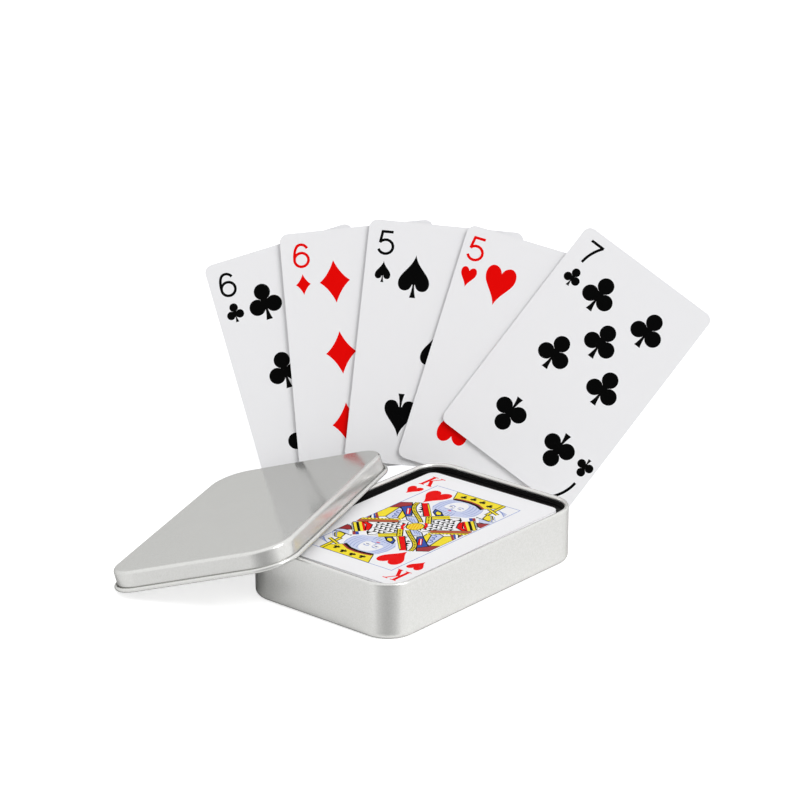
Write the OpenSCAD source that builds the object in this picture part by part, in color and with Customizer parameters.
// Playing card tin: a drawn tinplate box with a loose lid, a moulded tray and a pack of cards.
// The origin is the middle of the underside of the box, X runs along its long sides, Z is up.

/* [Cards] */
// Length of a card
card_len = 89; // [70:1:120]
// Width of a card
card_wid = 57; // [45:1:80]
// Thickness of a card
card_t = 0.3; // [0.2:0.01:0.5]
// Radius of a card's corners
card_r = 3; // [1:0.5:5]
// Air between two cards that lie on each other
card_gap = 0.03; // [0.02:0.01:0.1]

/* [Box] */
// Room between the pack and the outside of the box at its two ends
end_room = 6; // [5:0.5:12]
// Room between the pack and the outside of the box at its two long sides
side_room = 5; // [4.5:0.5:12]
// Height of the rim above the top card
headroom = 2.3; // [1.8:0.1:6]
// Radius of the box's upright corners, on the outside
corner_r = 11; // [9:0.5:13]
// Radius between the wall and the bottom
bottom_r = 2; // [1:0.25:3]
// Thickness of the tinplate
sheet_t = 0.3; // [0.2:0.05:0.4]
// Outside radius of the rim's inward curl
curl_r = 0.8; // [0.6:0.05:1]

/* [Tray] */
// Thickness of the moulded tray's walls
tray_t = 0.8; // [0.5:0.1:1]
// Thickness of the tray's floor
tray_floor = 1.2; // [0.5:0.1:2]
// Room round the pack in the pocket
pocket_room = 0.5; // [0.4:0.1:1]
// Depth of the ledge below the rim's curl
ledge_down = 1.2; // [0.8:0.1:3]
// Depth of the tray's outer skirt below its ledge
tray_skirt = 5; // [2:0.5:8]
// Room between the tray and the tinplate
tray_room = 0.15; // [0.05:0.05:0.3]

/* [Lid] */
// Height of the lid
lid_h = 7.2; // [5:0.2:12]
// Outside radius of the lid's top edge
lid_edge_r = 1.2; // [0.6:0.1:2]
// Outside radius of the bead round the lid's mouth
bead_r = 0.8; // [0.5:0.05:1]
// Room between the lid's skirt and the box
lid_room = 0.3; // [0.2:0.05:0.8]
// Turn of the leaning lid against the box
lid_turn = 20.2; // [10:0.2:30]
// Distance from the far long side to where the lid's bead crosses the end wall
lid_cross = 25.5; // [18:0.5:28]
// Distance along the bead from there to the middle of the lid
lid_along = 40.6; // [34:0.2:46]
// Air under a piece that rests on another
rest_gap = 0.1; // [0.05:0.05:0.3]

/* [Fan of cards] */
// Turn of the fan's plane about the upright
fan_turn = -55.3; // [-65:0.1:-50]
// Lean of the fan's plane away from the box
fan_lean = 24; // [18:1:32]
// Distance of the fan's foot past the end of the box
fan_past_end = 27.2; // [26:0.2:50]
// Distance of the fan's foot in from the far side of the box
fan_in_side = 36.4; // [20:0.2:38]
// Distance from one card's back to the next card's back
fan_step = 1.2; // [0.4:0.1:3]

/* [Hidden] */
$fn = 48;

tin_len = card_len + 2 * end_room;
tin_wid = card_wid + 2 * side_room;
deck_step = card_t + card_gap;

SUITS = ["clubs", "diamonds", "spades", "hearts"];
RANKS = ["king", "queen", "jack", "ten", "nine", "eight", "seven", "six", "five", "four", "three", "two", "ace"];
TOP_CARD = "king_of_hearts";

// Cards drawn out of the pack, front one first: name, place of its lowest corner along the fan,
// height of that corner above the ground, and its turn to the right
FAN = [
    ["seven_of_clubs", 1.1, 0.8, 35.2],
    ["five_of_hearts", -7.1, 3.5, 15],
    ["five_of_spades", -25.4, 11, 3.7],
    ["six_of_diamonds", -92.9, 8.3, -7.7],
    ["six_of_clubs", -104.6, 0.2, -18.9]
];
FAN_NAMES = [for (row = FAN) row[0]];

function is_in(name, list) = len([for (other = list) if (other == name) 1]) > 0;

// The rest of the pack, from the bottom card up, with two jokers
PACK = concat(
    ["first_joker", "second_joker"],
    [for (suit = SUITS, rank = RANKS) str(rank, "_of_", suit)]
);
DECK = [for (name = PACK) if (name != TOP_CARD && !is_in(name, FAN_NAMES)) name];

deck_z = sheet_t + tray_floor;
top_card_z = deck_z + len(DECK) * deck_step;
tin_h = top_card_z + deck_step + headroom;
ledge_z = tin_h - 2 * curl_r - ledge_down;

lid_r = corner_r + lid_room + sheet_t;
lid_len = tin_len + 2 * (lid_room + sheet_t);
lid_wid = tin_wid + 2 * (lid_room + sheet_t);
bead_out = bead_r - sheet_t;
bead_span = lid_wid + 2 * bead_out;

// The lid leans with one long bead on the ground and the other on the rim
lid_lean = asin(tin_h / bead_span);

// Filled rectangle with round corners, about the origin
module round_rect(len, wid, r) {
    square([len - 2 * r, wid], center = true);
    square([len, wid - 2 * r], center = true);
    for (x = [-1, 1], y = [-1, 1])
        translate([x * (len / 2 - r), y * (wid / 2 - r)])
            circle(r);
}

// Flat plate with round corners
module plate(len, wid, r, t) {
    linear_extrude(t)
        round_rect(len, wid, r);
}

// Three quarters or one quarter of a pipe's section, kept on the sides where keep is true:
// right top, left top, left bottom, right bottom
module pipe_quarters(r, t, keep) {
    corners = [[0, 0], [-r, 0], [-r, -r], [0, -r]];
    for (i = [0:3])
        if (keep[i])
            intersection() {
                difference() {
                    circle(r);
                    circle(r - t);
                }
                translate(corners[i])
                    square(r);
            }
}

// Carries a section round a rectangle with round corners. The section's X is the distance out
// from the centre of the corner's arc, and its Y is the height
module round_the_box(len, wid, r) {
    x = len / 2 - r;
    y = wid / 2 - r;
    for (mx = [0, 1], my = [0, 1])
        mirror([mx, 0, 0])
            mirror([0, my, 0])
                translate([x, y, 0])
                    rotate_extrude(angle = 90)
                        children();
    for (my = [0, 1])
        mirror([0, my, 0])
            translate([-x, y, 0])
                rotate([90, 0, 90])
                    linear_extrude(2 * x)
                        children();
    for (mx = [0, 1])
        mirror([mx, 0, 0])
            translate([x, y, 0])
                rotate([90, 0, 0])
                    linear_extrude(2 * y)
                        children();
}

// Section of the drawn box: curl, wall, bottom edge and the start of the bottom
module base_section() {
    lap = 1;
    translate([corner_r - curl_r, tin_h - curl_r])
        pipe_quarters(curl_r, sheet_t, [true, true, true, false]);
    translate([corner_r - sheet_t, bottom_r])
        square([sheet_t, tin_h - curl_r - bottom_r]);
    translate([corner_r - bottom_r, bottom_r])
        pipe_quarters(bottom_r, sheet_t, [false, false, false, true]);
    translate([corner_r - bottom_r - lap, 0])
        square([lap, sheet_t]);
}

module tin_base() {
    inset = bottom_r + sheet_t;
    color("silver") {
        round_the_box(tin_len, tin_wid, corner_r)
            base_section();
        plate(tin_len - 2 * inset, tin_wid - 2 * inset, corner_r - inset, sheet_t);
    }
}

// Moulded tray: a skirt inside the wall, a ledge under the curl and a pocket for the pack
module card_tray() {
    inset = sheet_t + tray_room;
    out_len = tin_len - 2 * inset;
    out_wid = tin_wid - 2 * inset;
    out_r = corner_r - inset;
    pocket_len = card_len + 2 * pocket_room;
    pocket_wid = card_wid + 2 * pocket_room;
    pocket_r = card_r + pocket_room;
    top_z = tin_h - 2 * curl_r - tray_room;
    color("dimgray") {
        translate([0, 0, ledge_z - tray_t - tray_skirt])
            linear_extrude(top_z - ledge_z + tray_t + tray_skirt)
                difference() {
                    round_rect(out_len, out_wid, out_r);
                    round_rect(out_len - 2 * tray_t, out_wid - 2 * tray_t, out_r - tray_t);
                }
        translate([0, 0, ledge_z - tray_t])
            linear_extrude(tray_t)
                difference() {
                    round_rect(out_len - tray_t, out_wid - tray_t, out_r - tray_t / 2);
                    round_rect(pocket_len, pocket_wid, pocket_r);
                }
        translate([0, 0, sheet_t])
            linear_extrude(ledge_z - sheet_t)
                difference() {
                    round_rect(pocket_len + 2 * tray_t, pocket_wid + 2 * tray_t, pocket_r + tray_t);
                    round_rect(pocket_len, pocket_wid, pocket_r);
                }
        translate([0, 0, sheet_t])
            plate(pocket_len + tray_t, pocket_wid + tray_t, pocket_r + tray_t / 2, tray_floor);
    }
}

// Section of the lid: top edge, skirt and the bead that curls outwards
module lid_section() {
    lap = 1;
    translate([lid_r - lid_edge_r - lap, lid_h - sheet_t])
        square([lap, sheet_t]);
    translate([lid_r - lid_edge_r, lid_h - lid_edge_r])
        pipe_quarters(lid_edge_r, sheet_t, [true, false, false, false]);
    translate([lid_r - sheet_t, bead_r])
        square([sheet_t, lid_h - lid_edge_r - bead_r]);
    translate([lid_r + bead_out, bead_r])
        pipe_quarters(bead_r, sheet_t, [true, false, true, true]);
}

// The lid upright, with the underside of its bead at height 0
module lid_shell() {
    top_in = lid_edge_r + sheet_t;
    round_the_box(lid_len, lid_wid, lid_r)
        lid_section();
    translate([0, 0, lid_h - sheet_t])
        plate(lid_len - 2 * top_in, lid_wid - 2 * top_in, lid_r - top_in, sheet_t);
}

module lid() {
    cross = [-tin_len / 2 + curl_r, tin_wid / 2 - lid_cross];
    half_span = bead_span / 2;
    off_bead = half_span * cos(lid_lean);
    place = [
        cross.x + lid_along * cos(lid_turn) - off_bead * sin(lid_turn),
        cross.y + lid_along * sin(lid_turn) + off_bead * cos(lid_turn),
        rest_gap + bead_r * (1 - cos(lid_lean)) + half_span * sin(lid_lean)
    ];
    color("silver")
        translate(place)
            rotate([-lid_lean, 0, lid_turn])
                lid_shell();
}

// One card, lying face up about the origin
module card() {
    color("white")
        plate(card_len, card_wid, card_r, card_t);
}

// A card of the pack in the tray, a little askew as cards lie
module deck_card(level) {
    askew = 0.1;
    shift = 0.2;
    translate([shift * sin(77 * level), shift * cos(131 * level), deck_z + level * deck_step])
        rotate(askew * sin(97 * level))
            card();
}

// The top card, where it was put down
module king_of_hearts() {
    translate([0.4, 0.2, top_card_z])
        rotate(0.7)
            card();
}

// A card of the fan, from the place of its lowest corner
module fan_card(row, layer) {
    turn = row[3];
    side = turn > 0 ? 1 : -1;
    arc = [side * (card_wid / 2 - card_r), -(card_len / 2 - card_r)];
    up_plane = (row[2] + layer * fan_step * sin(fan_lean)) / cos(fan_lean);
    middle = [
        row[1] - arc.x * cos(turn) - arc.y * sin(turn),
        up_plane + card_r + arc.x * sin(turn) - arc.y * cos(turn)
    ];
    translate([tin_len / 2 + fan_past_end, tin_wid / 2 - fan_in_side, 0])
        rotate([90 - fan_lean, 0, fan_turn])
            translate([middle.x, middle.y, -layer * fan_step])
                rotate(90 - turn)
                    card();
}

tin_base();
card_tray();
lid();
king_of_hearts();
for (i = [0:len(DECK) - 1])
    deck_card(i);
for (i = [0:len(FAN) - 1])
    fan_card(FAN[i], i);
